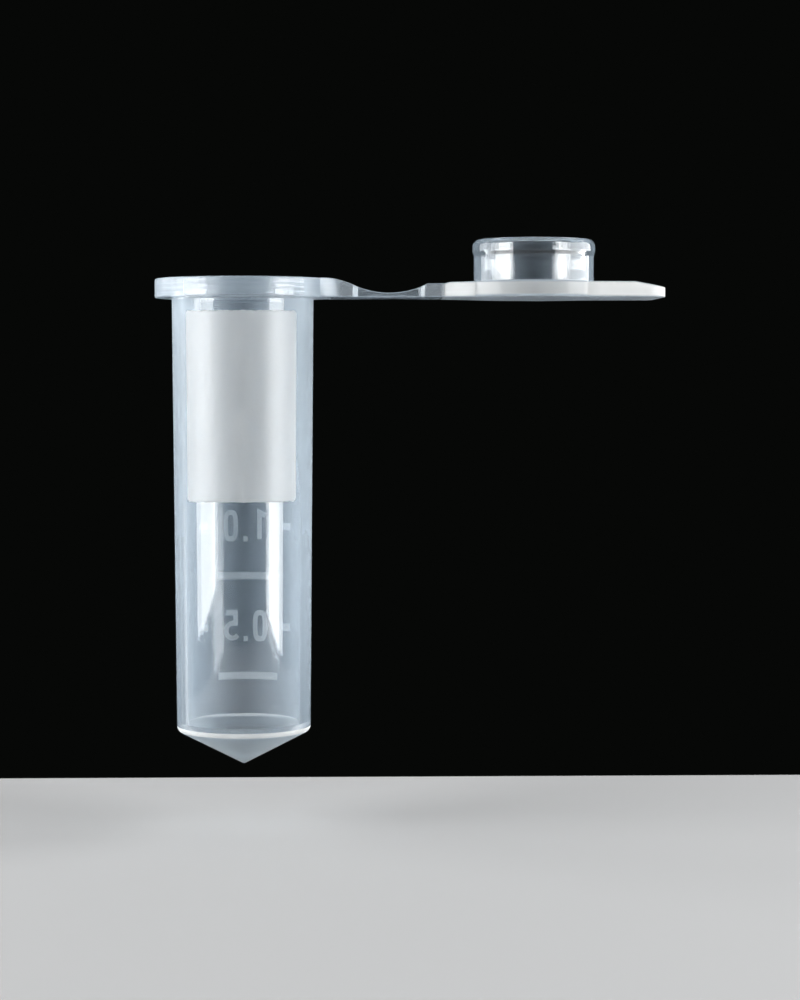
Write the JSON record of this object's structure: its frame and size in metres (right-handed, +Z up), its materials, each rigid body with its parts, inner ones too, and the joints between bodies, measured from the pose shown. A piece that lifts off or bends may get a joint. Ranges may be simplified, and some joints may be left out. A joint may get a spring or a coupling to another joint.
{
  "type": "microcentrifuge tube",
  "caption": "Snap-cap microcentrifuge tube in clear natural plastic, conical base, frosted writing panel, plug lid laid open on a living hinge.",
  "frame": {"origin": "on the tube's axis, in the plane of the flange's underside, where the tube hangs in a rack", "axes": "+Z up along the tube's axis towards its mouth, +X towards the lid laid open, -Y the side with the writing panel"},
  "size_m": [0.039, 0.0136, 0.0406],
  "materials": {
    "polypropylene": "clear natural polypropylene, slightly milky",
    "frosted_panel": "fine frosted texture",
    "frosted_mark": "frosted raised figures"
  },
  "bodies": {
    "tube": {"base_cone": "polypropylene", "mark_0_5_dash_a": "frosted_mark", "mark_0_5_dash_b": "frosted_mark", "mark_0_5_digit_a": "frosted_mark", "mark_0_5_digit_b": "frosted_mark", "mark_0_5_point": "frosted_mark", "mark_1_0_dash_a": "frosted_mark", "mark_1_0_dash_b": "frosted_mark", "mark_1_0_digit_a": "frosted_mark", "mark_1_0_digit_b": "frosted_mark", "mark_1_0_point": "frosted_mark", "mark_1_5_dash_a": "frosted_mark", "mark_1_5_dash_b": "frosted_mark", "mark_1_5_digit_a": "frosted_mark", "mark_1_5_digit_b": "frosted_mark", "mark_1_5_point": "frosted_mark", "mark_bar_1": "frosted_mark", "mark_bar_2": "frosted_mark", "mark_bar_3": "frosted_mark", "rim_flange": "polypropylene", "tube_barrel": "polypropylene", "tube_strap": "polypropylene", "writing_panel": "frosted_panel"},
    "hinge_link": {"hinge_web": "polypropylene"},
    "lid": {"lid_strap": "polypropylene", "lid_disc": "polypropylene", "lid_tab": "polypropylene", "plug_skirt": "polypropylene", "seal_bead": "polypropylene"}
  },
  "joints": [
    {"name": "tube_side_fold", "type": "hinge", "parent": "tube", "child": "hinge_link", "pos_m": [0.01007, 0, 0.00018], "axis": [0, -1, 0], "range_deg": [0, 90], "stiffness_Nm_per_rad": 0.0003},
    {"name": "lid_side_fold", "type": "hinge", "parent": "hinge_link", "child": "lid", "pos_m": [0.01241, 0, 0.00018], "axis": [0, -1, 0], "range_deg": [0, 90], "stiffness_Nm_per_rad": 0.0003}
  ],
  "couplings": [
    {"joint": "lid_side_fold", "follows": "tube_side_fold", "ratio": 1}
  ]
}
